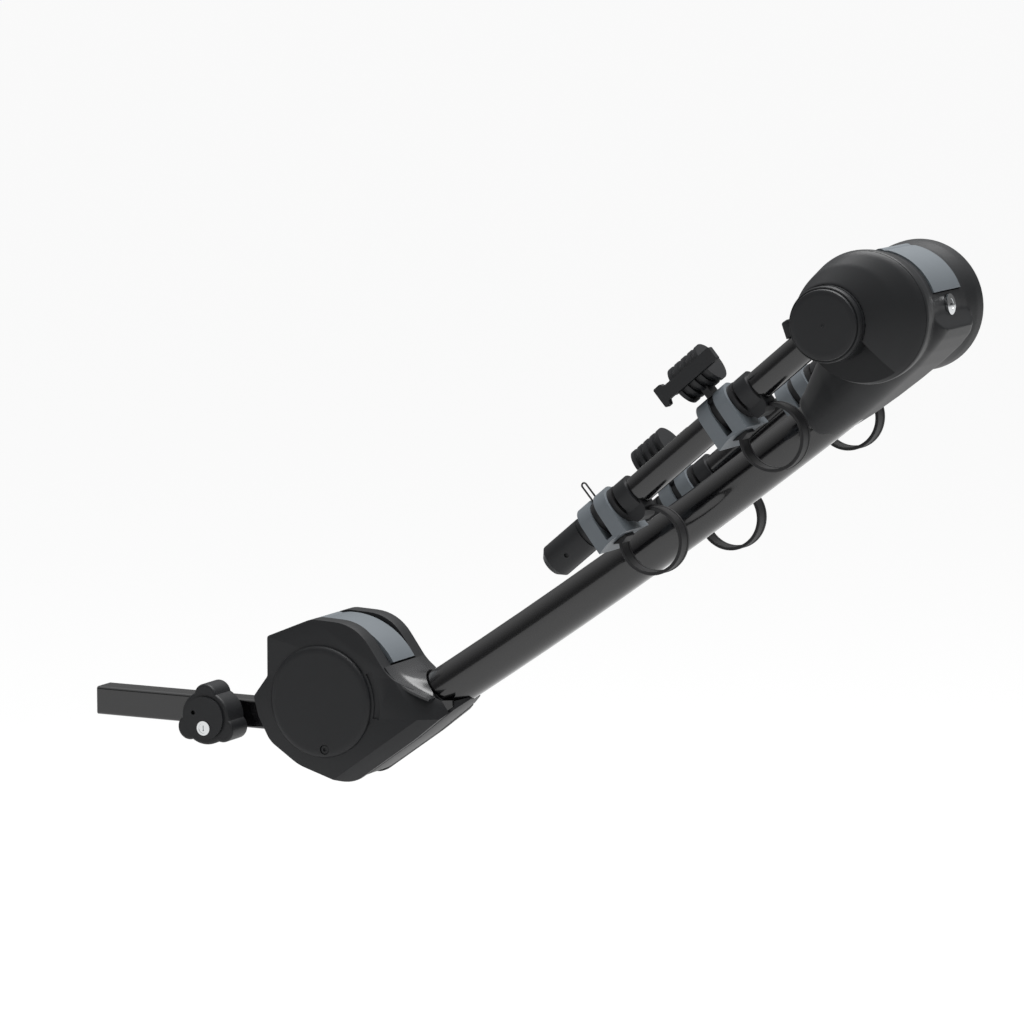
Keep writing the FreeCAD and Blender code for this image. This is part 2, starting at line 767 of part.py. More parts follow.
def lock_key_plug():
    bar = lock_hole(lock_radius * 0.7 - running_clearance, lock_depth - 6 - face_gap)
    x, z = polar(drum_radius + 1.5, lock_angle, DRUM)
    plug = bar.common(rod(drum_radius + 2.6, -20, 20, DRUM))
    slot = box(-4, 4, -lock_radius * 0.4, lock_radius * 0.4, -lock_radius * 0.1, lock_radius * 0.1)
    slot = placed(slot, vec(x, 0, z), lock_angle)
    return plug.cut(slot)


# Arms

def arm_shaft():
    start = head_pawl_nose_angle - (arm_angle - mast_angle) - arm_fold
    margin = pawl_nose_half_angle + 1
    wheel = track_wheel(wheel_radius, wheel_track_radius, wheel_half_width,
                        start - margin, arm_fold + 2 * margin)
    reach = hub_outer_y - 2
    return rod(shaft_diameter / 2, -reach, reach).fuse(wheel)


def hub():
    """The far hub: a round end that carries the arm's tube."""
    body = rod(hub_radius, hub_inner_y, hub_outer_y)
    body = body.makeFillet(6.0, edges_at(body, hub_outer_y))
    body = body.cut(rod(shaft_diameter / 2 + fit_clearance, hub_inner_y - 1, hub_outer_y - 2))
    return body.cut(along(arm_diameter / 2 + fit_clearance, arm_start, arm_start + hub_radius))


def hub_cap():
    cap = rod(hub_cap_radius, hub_outer_y, hub_outer_y + hub_cap_height)
    return cap.makeFillet(2.0, edges_at(cap, hub_outer_y + hub_cap_height))


def along(radius, x0, x1, y=arm_y, z=0.0):
    """A cylinder along the arm."""
    return Part.makeCylinder(radius, x1 - x0, vec(x0, y, z), vec(1, 0, 0))


def arm_tube():
    return along(arm_diameter / 2, arm_start, arm_end).cut(
        along(arm_diameter / 2 - arm_wall, arm_start - 1, arm_end + 1))


def end_cap():
    shoulder = end_cap_end - end_cap_tip
    body = along(end_cap_radius, end_cap_start, shoulder)
    foot = vec(shoulder, arm_y, 0)
    tip = Part.makeCone(end_cap_radius, end_cap_radius - 6, end_cap_tip, foot, vec(1, 0, 0))
    collar = along(end_cap_radius - 1.5, end_cap_start - end_cap_collar, end_cap_start)
    body = body.fuse([tip, collar])
    body = body.cut(along(arm_diameter / 2 + fit_clearance, end_cap_start - end_cap_collar - 1,
                          arm_end + fit_clearance))
    hole = Part.makeCylinder(2.5, 8, vec(end_cap_hole_x, arm_y + end_cap_radius - 3, 6), vec(0, 1, 0))
    return body.cut(hole)


# Cradles

def cross_outline(half, top, radius, x):
    """Across the arm: round below, sides opening to a flat seat, as a closed wire."""
    lean = math.degrees(math.atan2(half - radius, top)) + 2
    right = polar(radius, -lean, (arm_y, 0))
    left = polar(radius, 180 + lean, (arm_y, 0))
    points = [
        vec(x, right[0], -right[1]), vec(x, arm_y + half, top),
        vec(x, arm_y - half, top), vec(x, left[0], -left[1]),
    ]
    bottom = vec(x, arm_y, -radius)
    a, b, c, d = points
    low_right = vec(x, right[0], right[1])
    low_left = vec(x, left[0], left[1])
    edges = [
        Part.Arc(low_left, bottom, low_right).toShape(),
        Part.LineSegment(low_right, b).toShape(),
        Part.LineSegment(b, c).toShape(),
        Part.LineSegment(c, low_left).toShape(),
    ]
    return Part.Wire(edges)


def cradle(x):
    """A grey cradle round the arm: two flanges, a slot between them and a seat on top."""
    x0 = x - cradle_length / 2
    face = Part.Face(cross_outline(cradle_seat_half, cradle_seat_z, cradle_round_radius, x0))
    body = face.extrude(vec(cradle_length, 0, 0))
    dip = rod(seat_dip_radius, arm_y - 40, arm_y + 40, (x, cradle_seat_z + seat_dip_radius - cradle_seat_dip))
    body = body.cut(dip)
    slot = box(x - cradle_slot / 2, x + cradle_slot / 2, arm_y - 40, arm_y + 40,
               -40, cage_ring_radius + slot_roof_gap)
    return body.cut(slot).cut(along(pad_radius, x0 - 1, x0 + cradle_length + 1))


def cradle_pad(x):
    """The soft sleeve between arm and cradle, with a collar that shows on the head side."""
    x0 = x - cradle_length / 2 - pad_overhang
    x1 = x + cradle_length / 2
    bore = along(arm_diameter / 2 + fit_clearance, x0 - 1, x1 + 1)
    return along(pad_radius - fit_clearance, x0, x1).cut(bore)


def strap(x):
    """A rubber strap bent into an open loop, with its foot on the seat."""
    centre = (x - strap_lead, strap_height)
    y0 = arm_y - strap_width / 2
    y1 = arm_y + strap_width / 2
    inner = strap_radius - strap_thickness
    middle = (strap_root_angle + strap_tail_angle) / 2
    first = sector(strap_radius, inner, strap_root_angle, middle, y0, y1)
    second = sector(strap_radius, inner, middle, strap_tail_angle, y0, y1)
    loop = first.fuse(second)
    loop.translate(vec(centre[0], 0, centre[1]))
    root_out = polar(strap_radius, strap_root_angle, centre)
    root_in = polar(inner, strap_root_angle, centre)
    foot = strap_foot_half
    rise = seat_dip_radius - math.sqrt(seat_dip_radius ** 2 - foot ** 2)
    foot_z = cradle_seat_z - cradle_seat_dip + rise + face_gap
    root = slab([
        root_in + (0,), (x - foot, foot_z + 4, 3), (x - foot, foot_z, 1), (x + foot, foot_z, 1),
        root_out + (0,)], y0, y1)
    return loop.fuse(root)


def buckle(x):
    """The catch block beside the cradle that the strap's free end meets."""
    centre = (x - strap_lead, strap_height)
    x1 = x - cradle_length / 2 - pad_overhang
    low = polar(strap_radius + 1, strap_tail_angle + 1, centre)
    high = polar(strap_radius - strap_thickness, strap_tail_angle + 1, centre)
    foot = arm_diameter / 2 + fit_clearance
    body = slab([
        (low[0], foot - 6, 1), low + (0,), high + (1,), (high[0] + 5, high[1] + 4, 3),
        (x1 - 4, high[1] + 4, 3), (x1, foot + 6, 2), (x1, foot - 6, 1)], arm_y - 13, arm_y + 13)
    clip = along(arm_diameter / 2 + 4, low[0] + 2, x1 - 3)
    return body.fuse(clip).cut(along(foot, low[0] - 1, x1 + 1))


def pull_loop(x):
    """A thin wire loop that stands from the slot under a cradle."""
    w = pull_loop_width / 2
    low = -pad_radius - face_gap
    outer = slab([
        (x - w, low, 1), (x + w, low, 1), (x + w, low - pull_loop_length, w - 0.2),
        (x - w, low - pull_loop_length, w - 0.2)], arm_y - pull_loop_wire / 2, arm_y + pull_loop_wire / 2)
    i = w - pull_loop_wire
    inner = slab([
        (x - i, low - pull_loop_wire, 0.4), (x + i, low - pull_loop_wire, 0.4),
        (x + i, low - pull_loop_length + pull_loop_wire, i - 0.2),
        (x - i, low - pull_loop_length + pull_loop_wire, i - 0.2)], arm_y - 5, arm_y + 5)
    return outer.cut(inner)


def sway_collar(x):
    """The curved shoe that turns round the arm in the cradle's slot."""
    half = cradle_slot / 2 - face_gap
    shoe = along(cage_ring_radius, x - half, x + half).cut(
        along(pad_radius + face_gap, x - half - 1, x + half + 1))
    a = math.radians(cage_ring_half_angle)
    reach = 40.0
    side = reach * math.sin(a)
    down = -reach * math.cos(a)
    corners = [
        vec(x - half, arm_y, 0), vec(x - half, arm_y + side, down),
        vec(x - half, arm_y, -2 * reach), vec(x - half, arm_y - side, down),
    ]
    wedge = Part.Face(Part.makePolygon(corners + corners[:1])).extrude(vec(2 * half, 0, 0))
    return shoe.common(wedge)


def sway_cage(x):
    """The anti-sway cage: a shoe in the cradle's slot, a neck, a ribbed drum and a spine bar."""
    half = cradle_slot / 2 - face_gap
    drop = -cage_drum_drop
    neck = box(x - half, x + half, arm_y - 9, arm_y + 9, drop, -pad_radius - 2)
    start = x - cage_drum_length / 2
    core = along(cage_drum_radius - 3.5, start, start + cage_drum_length, arm_y, drop)
    body = sway_collar(x).fuse([neck, core])
    pitch = (cage_drum_length - cage_rib_width) / (cage_rib_count - 1)
    for i in range(cage_rib_count):
        rib = start + i * pitch
        body = body.fuse(along(cage_drum_radius, rib, rib + cage_rib_width, arm_y, drop))
    return body.fuse(sway_bar(x))


def sway_bar(x):
    """The spine on the outboard side of the drum, hooked at the end away from the head."""
    w = cage_bar_width / 2
    z = -cage_drum_drop
    y0 = arm_y + cage_drum_radius - 2
    x0 = x - cage_bar_length / 2
    x1 = x + cage_bar_length / 2
    return slab([
        (x0, z - w, 1.5), (x1 - 12, z - w, 2), (x1 - 10, z - w - 4, 2), (x1, z - w - 4, 2),
        (x1, z + w + 4, 2), (x1 - 6, z + w + 4, 1.5), (x1 - 8, z + w - 1, 1), (x1 - 14, z + w - 1, 1),
        (x1 - 16, z + w, 1), (x0, z + w, 1.5)], y0, y0 + cage_bar_thickness)


def main():
    os.makedirs("parts", exist_ok=True)
    save("hitch_shank", [shank()])
    save("bracket_cheeks", [mirrored(cheek()), cheek()])
    save("latch_wheel", [latch_wheel()], BASE, mast_angle)
    save("pivot_bolt", [pivot_bolt()], BASE, 0)
    save("pivot_nut", [pivot_nut()], BASE, 0)
    save("pivot_washers", [pivot_washer(-1), pivot_washer(1)], BASE, 0)
    save("hitch_pin", [hitch_pin()])
    save("pin_knob", [knob()])
    save("knob_lock_barrel", [knob_lock_barrel()])
    save("knob_lock_plug", [knob_lock_plug()])

    save_mast("mast_tube", mast_tube())
    for name, piece in (
            ("base_cover", base_cover()), ("base_disc", base_disc()), ("side_plate", side_plate())):
        save_mast(name + "_near", mirrored(piece))
        save_mast(name + "_far", piece)
    save_mast("pivot_bushes", pivot_bush(-1), pivot_bush(1))
    save_mast("base_screws", mirrored(base_screw()), base_screw())
    save_mast("base_saddle", base_core())
    knuckle = polar(base_knuckle_orbit, base_knuckle_angle)
    pawl_pin = polar(base_pawl_orbit, base_pawl_pin_angle)
    save_mast("tilt_lever", lever(base_lever_radius, base_lever_start, base_lever_end,
                                  base_knuckle_orbit, base_knuckle_angle, plate_inner - lever_side_gap))
    save_mast("tilt_lever_pin", cross_pin(lever_pin_radius, plate_outer, knuckle))
    save_mast("tilt_pawl", pawl(base_pawl_orbit, base_pawl_pin_angle, latch_track_radius + face_gap,
                                base_pawl_nose_angle, pawl_thickness / 2))
    save_mast("tilt_pawl_pin", cross_pin(pawl_pin_radius, plate_outer, pawl_pin))

    save_head("head_casing", head_body())
    save_head("head_bowl_near", mirrored(bowl()))
    save_head("head_bowl_far", bowl())
    save_head("head_frame", head_frame())
    save_head("fold_lever", fold_lever())
    save_head("fold_lever_pin", cross_pin(lever_pin_radius, head_pin_reach, knuckle_centre()))
    save_head("fold_pawl", pawl(head_pawl_orbit, head_pawl_pin_angle, wheel_track_radius + face_gap,
                                head_pawl_nose_angle, pawl_thickness / 2))
    save_head("fold_pawl_pin", cross_pin(pawl_pin_radius, head_plate_y + head_plate_thickness,
                                         polar(head_pawl_orbit, head_pawl_pin_angle)))
    save_head("head_lock_barrel", lock_barrel())
    save_head("head_lock_plug", lock_key_plug())

    save_arm("arm_shaft", arm_shaft())
    for name, piece in (("arm_hub", hub()), ("hub_cap", hub_cap()), ("arm_tube", arm_tube()),
                        ("arm_end_cap", end_cap())):
        save_arm(name + "_near", mirrored(piece))
        save_arm(name + "_far", piece)
    for level, x in (("high", cradle_high_x), ("low", cradle_low_x)):
        for name, piece in (("cradle", cradle(x)), ("strap", strap(x))):
            save_arm(name + "_" + level + "_near", mirrored(piece))
            save_arm(name + "_" + level + "_far", piece)
    pads = [cradle_pad(cradle_high_x), cradle_pad(cradle_low_x)]
    buckles = [buckle(cradle_high_x), buckle(cradle_low_x)]
    for name, pair in (("cradle_pads", pads), ("strap_buckles", buckles)):
        save_arm(name + "_near", *[mirrored(piece) for piece in pair])
        save_arm(name + "_far", *pair)
    save_arm("sway_cage_near", mirrored(sway_cage(cradle_high_x)))
    save_arm("sway_cage_far", sway_cage(cradle_low_x))
    save_arm("pull_loops", mirrored(pull_loop(cradle_low_x)), pull_loop(cradle_high_x))


main()
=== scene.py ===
import json
import math

import bmesh
import bpy
from bpy.props import FloatProperty, FloatVectorProperty, IntProperty, PointerProperty
from mathutils import Matrix, Vector


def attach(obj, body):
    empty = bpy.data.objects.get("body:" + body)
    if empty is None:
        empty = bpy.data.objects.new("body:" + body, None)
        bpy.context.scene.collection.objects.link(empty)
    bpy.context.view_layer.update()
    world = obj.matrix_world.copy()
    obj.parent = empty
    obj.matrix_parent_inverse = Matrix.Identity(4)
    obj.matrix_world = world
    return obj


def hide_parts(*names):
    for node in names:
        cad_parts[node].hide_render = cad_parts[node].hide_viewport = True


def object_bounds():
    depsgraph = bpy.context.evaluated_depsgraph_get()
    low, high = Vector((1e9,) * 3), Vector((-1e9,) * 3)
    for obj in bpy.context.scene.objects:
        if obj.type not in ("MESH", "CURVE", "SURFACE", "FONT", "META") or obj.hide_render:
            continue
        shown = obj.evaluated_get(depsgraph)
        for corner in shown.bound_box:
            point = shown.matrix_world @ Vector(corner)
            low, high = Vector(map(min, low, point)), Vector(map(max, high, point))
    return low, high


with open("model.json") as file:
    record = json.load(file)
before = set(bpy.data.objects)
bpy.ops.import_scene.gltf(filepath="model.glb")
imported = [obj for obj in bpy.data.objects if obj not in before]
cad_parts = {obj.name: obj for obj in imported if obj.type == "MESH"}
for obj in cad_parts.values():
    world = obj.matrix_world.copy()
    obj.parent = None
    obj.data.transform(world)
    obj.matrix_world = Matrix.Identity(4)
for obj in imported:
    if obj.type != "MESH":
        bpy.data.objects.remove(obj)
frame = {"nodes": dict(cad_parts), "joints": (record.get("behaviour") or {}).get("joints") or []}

bl_info = {
    "name": "Hitch bike rack",
    "version": (1, 0, 0),
    "blender": (4, 5, 0),
    "location": "3D View > Sidebar > Bike Rack",
    "description": "Finishes, rubber straps, anti-sway cages, small fittings and stage of a hitch bike rack",
    "category": "Object",
}

# The rack's own places, read from the frame
MM = 0.001
JOINTS = {joint["name"]: joint for joint in frame["joints"]}
TILT = Vector(JOINTS["mast_tilt"]["pos_m"])
HEAD = Vector(JOINTS["arms_fold"]["pos_m"])
ARM = Vector(JOINTS["cage_far_swing"]["axis"]).normalized()
MAST = (HEAD - TILT).normalized()
ACROSS = Vector((0, 1, 0))
ARM_Y = abs(JOINTS["cage_far_swing"]["pos_m"][1])
CAD_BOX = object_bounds()


def linear(code):
    """An sRGB hex colour as linear red, green, blue and alpha."""
    out = []
    for i in (1, 3, 5):
        c = int(code[i:i + 2], 16) / 255
        out.append(c / 12.92 if c <= 0.04045 else ((c + 0.055) / 1.055) ** 2.4)
    return (*out, 1.0)


def add_node(tree, kind, links=None, values=None, **settings):
    """Adds one node with its settings, socket values and incoming links."""
    node = tree.nodes.new(kind)
    for name, value in settings.items():
        setattr(node, name, value)
    for name, value in (values or {}).items():
        node.inputs[name].default_value = value
    for name, source in (links or {}).items():
        tree.links.new(source, node.inputs[name])
    return node


def colour(name, code, text):
    return FloatVectorProperty(name=name, description=text, subtype="COLOR", size=4, min=0, max=1,
                               default=linear(code))


def length(name, metres, text):
    return FloatProperty(name=name, description=text, default=metres, unit="LENGTH", subtype="DISTANCE")


# Settings that a user would change

class RackFinish(bpy.types.PropertyGroup):
    """Colours and grain of the rack's materials."""
    black_nylon: colour("Black nylon", "#1b1c1e", "Moulded covers, casing, hubs and knob")
    grey_nylon: colour("Grey nylon", "#5f656a", "Levers, cradles and catch blocks")
    black_coat: colour("Black coat", "#08080a", "Glossy powder coat of the tubes and the shank")
    rubber: colour("Rubber", "#151517", "Straps and the sleeves inside the cradles")
    zinc: colour("Zinc", "#a3a6a9", "Plated steel inside the casings")
    chrome: colour("Chrome", "#dcdedf", "Faces of the two locks")
    grain: length("Grain", 0.0006, "Distance between the bumps of the moulded texture")


class RackFittings(bpy.types.PropertyGroup):
    """Sizes of the pieces that are made here."""
    strap_radius: length("Strap radius", 0.036, "Outer radius of a strap's loop")
    strap_thickness: length("Strap thickness", 0.0036, "Thickness of a strap at its lips")
    strap_web: length("Strap web", 0.0022, "Thickness of a strap between its lips")
    strap_width: length("Strap width", 0.020, "Width of a strap")
    strap_lip: length("Strap lip", 0.0042, "Width of the lip along each edge of a strap")
    wire: length("Wire", 0.0020, "Diameter of the pull loops' wire")
    rib_count: IntProperty(name="Ribs", description="Ribs on the drum of a cage", default=5, min=1, max=20)
    rib_width: length("Rib width", 0.0046, "Thickness of one rib on a cage's drum")
    screw_head: length("Screw head", 0.0088, "Diameter of a cover screw's head")


class RackStage(bpy.types.PropertyGroup):
    """Floor, light and camera."""
    floor_drop: length("Floor drop", 0.42, "Height of the hitch above the floor")
    floor: colour("Floor", "#fafafa", "Studio floor")
    lens: FloatProperty(name="Lens", description="Focal length in millimetres", default=172.0, min=20, max=400)
    key: FloatProperty(name="Key light", description="Power of the overhead soft box in watts", default=90.0)
    fill: FloatProperty(name="Fill", description="Strength of the studio's light overhead", default=1.0)


def finish():
    return bpy.context.scene.rack_finish


def fittings():
    return bpy.context.scene.rack_fittings


# Materials

def new_material(name):
    """An empty node material with its surface shader, and the shader."""
    material = bpy.data.materials.get(name)
    if material:
        return material, None, None
    material = bpy.data.materials.new(name)
    material.use_nodes = True
    tree = material.node_tree
    tree.nodes.clear()
    shader = add_node(tree, "ShaderNodeBsdfPrincipled")
    output = add_node(tree, "ShaderNodeOutputMaterial")
    tree.links.new(shader.outputs["BSDF"], output.inputs["Surface"])
    return material, tree, shader


def object_point(tree, stretch=(1, 1, 1)):
    """Object coordinates through a mapping, so that a pattern keeps its size in metres."""
    place = add_node(tree, "ShaderNodeTexCoord")
    return add_node(tree, "ShaderNodeMapping", {"Vector": place.outputs["Object"]}, {"Scale": stretch})


def grained(tree, shader, spacing, depth, tone, spread, roughness, rough_spread):
    """Gives a shader fine bumps, a slight change of tone and of roughness."""
    point = object_point(tree)
    grain = add_node(tree, "ShaderNodeTexNoise", {"Vector": point.outputs[0]},
                     {"Scale": 1 / spacing, "Detail": 2.0, "Roughness": 0.55})
    cloud = add_node(tree, "ShaderNodeTexNoise", {"Vector": point.outputs[0]},
                     {"Scale": 22.0, "Detail": 3.0, "Roughness": 0.6})
    dark = [c * (1 - spread) for c in tone[:3]] + [1]
    light = [c * (1 + spread) for c in tone[:3]] + [1]
    mix = add_node(tree, "ShaderNodeMix", {"Factor": cloud.outputs["Fac"]}, data_type="RGBA")
    mix.inputs[6].default_value = dark
    mix.inputs[7].default_value = light
    tree.links.new(mix.outputs[2], shader.inputs["Base Color"])
    rough = add_node(tree, "ShaderNodeMapRange", {"Value": grain.outputs["Fac"]},
                     {"To Min": roughness - rough_spread, "To Max": roughness + rough_spread})
    tree.links.new(rough.outputs[0], shader.inputs["Roughness"])
    bump = add_node(tree, "ShaderNodeBump", {"Height": grain.outputs["Fac"]},
                    {"Strength": 0.35, "Distance": depth})
    tree.links.new(bump.outputs["Normal"], shader.inputs["Normal"])


def black_nylon():
    """Glass-filled nylon from an eroded mould: a dull, very fine even grain."""
    material, tree, shader = new_material("glass_filled_nylon_black_moulded")
    if tree:
        shader.inputs["IOR"].default_value = 1.53
        shader.inputs["Specular IOR Level"].default_value = 0.3
        grained(tree, shader, finish().grain, 0.00012, finish().black_nylon, 0.10, 0.46, 0.05)
    return material


def polished_nylon():
    """The black nylon where hands and the mast slide past: the same mould, polished."""
    material, tree, shader = new_material("glass_filled_nylon_black_polished")
    if tree:
        shader.inputs["IOR"].default_value = 1.53
        grained(tree, shader, finish().grain, 0.00003, finish().black_nylon, 0.08, 0.27, 0.04)
    return material


def grey_nylon():
    """The same nylon in mid grey, a little smoother on the levers."""
    material, tree, shader = new_material("glass_filled_nylon_grey_moulded")
    if tree:
        shader.inputs["IOR"].default_value = 1.53
        shader.inputs["Specular IOR Level"].default_value = 0.5
        grained(tree, shader, finish().grain, 0.00009, finish().grey_nylon, 0.06, 0.42, 0.05)
    return material


def black_coat():
    """Powder coat on steel tube: glossy black with a faint orange peel 2 mm across."""
    material, tree, shader = new_material("steel_tube_gloss_black_powder_coat")
    if tree:
        shader.inputs["IOR"].default_value = 1.5
        shader.inputs["Coat Weight"].default_value = 0.6
        shader.inputs["Coat Roughness"].default_value = 0.06
        grained(tree, shader, 0.002, 0.00003, finish().black_coat, 0.05, 0.20, 0.02)
    return material


def rubber():
    """EPDM rubber from a polished mould: dark, soft highlights, no grain to speak of."""
    material, tree, shader = new_material("epdm_rubber_black_moulded")
    if tree:
        shader.inputs["IOR"].default_value = 1.52
        shader.inputs["Specular IOR Level"].default_value = 0.4
        grained(tree, shader, 0.0009, 0.00005, finish().rubber, 0.12, 0.55, 0.06)
    return material


def wire_coat():
    """Vinyl-coated spring wire: smooth and black."""
    material, tree, shader = new_material("spring_wire_black_vinyl_coat")
    if tree:
        shader.inputs["IOR"].default_value = 1.5
        grained(tree, shader, 0.0008, 0.00002, finish().rubber, 0.05, 0.35, 0.03)
    return material


def zinc_steel():
    """Zinc-plated steel: a pale satin metal with fine drawing marks along its length."""
    material, tree, shader = new_material("steel_zinc_plated_satin")
    if tree:
        shader.inputs["Metallic"].default_value = 1.0
        grained(tree, shader, 0.0007, 0.00003, finish().zinc, 0.08, 0.34, 0.06)
    return material


def chrome():
    """Chrome plate on die-cast zinc: a mirror with a trace of haze."""
    material, tree, shader = new_material("zinc_die_cast_chrome_plated")
    if tree:
        shader.inputs["Metallic"].default_value = 1.0
        grained(tree, shader, 0.0012, 0.00001, finish().chrome, 0.03, 0.12, 0.03)
    return material


def paint(names, material):
    """Gives CAD nodes a material in place of their own."""
    for name in names:
        node = frame["nodes"][name]
        node.data.materials.clear()
        node.data.materials.append(material)


def pair(*names):
    return [name + "_" + side for name in names for side in ("near", "far")]


# Mesh helpers: pieces are drawn in millimetres in the arm's or the mast's frame

def arm_frame(side):
    """From millimetres along the arm, outboard and to the strap side, to the rack's frame."""
    up = ACROSS.cross(ARM) * -1
    turn = Matrix((ARM, ACROSS, up)).transposed().to_4x4()
    flip = Matrix.Diagonal((1, side, 1, 1))
    return Matrix.Translation(HEAD) @ turn @ flip @ Matrix.Scale(MM, 4)


def mast_frame(origin):
    """From millimetres along the mast, across and above it, to the rack's frame."""
    up = ACROSS.cross(MAST) * -1
    turn = Matrix((MAST, ACROSS, up)).transposed().to_4x4()
    return Matrix.Translation(origin) @ turn @ Matrix.Scale(MM, 4)


def arc(centre, radius, start, end, steps):
    """Points (x, z) along an arc, angles in degrees."""
    out = []
    for i in range(steps + 1):
        a = math.radians(start + (end - start) * i / steps)
        out.append((centre[0] + radius * math.cos(a), centre[1] + radius * math.sin(a)))
    return out


def lofted(rings, closed=False):
    """A closed mesh through rings of points, with flat ends unless the rings close on themselves."""
    mesh = bmesh.new()
    rows = [[mesh.verts.new(point) for point in ring] for ring in rings]
    count = len(rows[0])
    last = len(rows) if closed else len(rows) - 1
    for i in range(last):
        a = rows[i]
        b = rows[(i + 1) % len(rows)]
        for j in range(count):
            mesh.faces.new((a[j], a[(j + 1) % count], b[(j + 1) % count], b[j]))
    if not closed:
        mesh.faces.new(list(reversed(rows[0])))
        mesh.faces.new(rows[-1])
    return mesh


def prism(points, y0, y1):
    """A plate of an (x, z) outline between two planes across Y."""
    return lofted([[(x, y0, z) for x, z in points], [(x, y1, z) for x, z in points]])


def joined(parts):
    """One mesh from several closed ones."""
    whole = bmesh.new()
    for part in parts:
        data = bpy.data.meshes.new("part")
        part.to_mesh(data)
        part.free()
        whole.from_mesh(data)
        bpy.data.meshes.remove(data)
    return whole


def piece(name, mesh, matrix, material, body, bevel=0.0, sharp=35.0):
    """Makes a piece at the origin with its place in its mesh, and lets it ride on a body."""
    mesh.transform(matrix)
    bmesh.ops.recalc_face_normals(mesh, faces=mesh.faces)
    data = bpy.data.meshes.new(name)
    mesh.to_mesh(data)
    mesh.free()
    data.materials.append(material)
    thing = bpy.data.objects.new(name, data)
    bpy.context.scene.collection.objects.link(thing)
    if bevel:
        rounding = thing.modifiers.new("rounded edges", "BEVEL")
        rounding.width = bevel
        rounding.segments = 3
        rounding.limit_method = "ANGLE"
        rounding.angle_limit = math.radians(40)
        flatten(thing)
    thing.data.shade_smooth()
    thing.data.set_sharp_from_angle(angle=math.radians(sharp))
    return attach(thing, body)


def flatten(thing):
    """Turns an object's modifiers into plain mesh."""
    bpy.context.view_layer.update()
    evaluated = thing.evaluated_get(bpy.context.evaluated_depsgraph_get())
    data = bpy.data.meshes.new_from_object(evaluated)
    data.name = thing.name
    thing.modifiers.clear()
    thing.data = data


def cut(thing, cutter, matrix):
    """Takes a closed mesh away from an object and leaves plain mesh."""
    cutter.transform(matrix)
    bmesh.ops.recalc_face_normals(cutter, faces=cutter.faces)
    data = bpy.data.meshes.new("cutter")
    cutter.to_mesh(data)
    cutter.free()
    tool = bpy.data.objects.new("cutter", data)
    bpy.context.scene.collection.objects.link(tool)
    taking = thing.modifiers.new("cut", "BOOLEAN")
    taking.operation = "DIFFERENCE"
    taking.solver = "EXACT"
    taking.object = tool
    flatten(thing)
    bpy.data.objects.remove(tool)
    bpy.data.meshes.remove(data)


def smooth(thing, sharp=35.0):
    """Shades an object smooth but for its sharp edges."""
    thing.data.shade_smooth()
    thing.data.set_sharp_from_angle(angle=math.radians(sharp))


def polar(radius, angle, centre=(0.0, 0.0)):
    a = math.radians(angle)
    return centre[0] + radius * math.cos(a), centre[1] + radius * math.sin(a)


def rounded(points, steps=8):
    """An (x, z) outline with its corners (x, z, radius) rounded."""
    out = []
    for i, (x, z, r) in enumerate(points):
        here = Vector((x, z))
        before = Vector(points[i - 1][:2]) - here
        after = Vector(points[(i + 1) % len(points)][:2]) - here
        if r == 0:
            out.append((x, z))
            continue
        reach = min(r / math.tan(before.angle(after) / 2), 0.49 * before.length, 0.49 * after.length)
        start = here + before.normalized() * reach
        end = here + after.normalized() * reach
        for k in range(steps + 1):
            t = k / steps
            spot = start * (1 - t) ** 2 + here * 2 * t * (1 - t) + end * t ** 2
            out.append((spot.x, spot.y))
    return out


def turned(profile, steps=96):
    """A closed mesh from a profile (radius, y) turned about the Y axis, with both ends on the axis."""
    mesh = bmesh.new()
    rows = []
    for r, y in profile:
        if r == 0:
            rows.append([mesh.verts.new((0, y, 0))])
        else:
            ring = [polar(r, 360 * k / steps) for k in range(steps)]
            rows.append([mesh.verts.new((x, y, z)) for x, z in ring])
    for a, b in zip(rows, rows[1:]):
        for k in range(steps):
            n = (k + 1) % steps
            if len(a) == 1:
                mesh.faces.new((a[0], b[k], b[n]))
            elif len(b) == 1:
                mesh.faces.new((a[k], a[n], b[0]))
            else:
                mesh.faces.new((a[k], a[n], b[n], b[k]))
    return mesh


def trimmed(mesh, place, normal):
    """Cuts a closed mesh at a plane, drops what lies on the normal's side and closes it again."""
    geometry = mesh.verts[:] + mesh.edges[:] + mesh.faces[:]
    bmesh.ops.bisect_plane(mesh, geom=geometry, dist=1e-4, plane_co=place, plane_no=normal, clear_outer=True)
    bmesh.ops.holes_fill(mesh, edges=[edge for edge in mesh.edges if edge.is_boundary], sides=0)
    return mesh


# Base housing

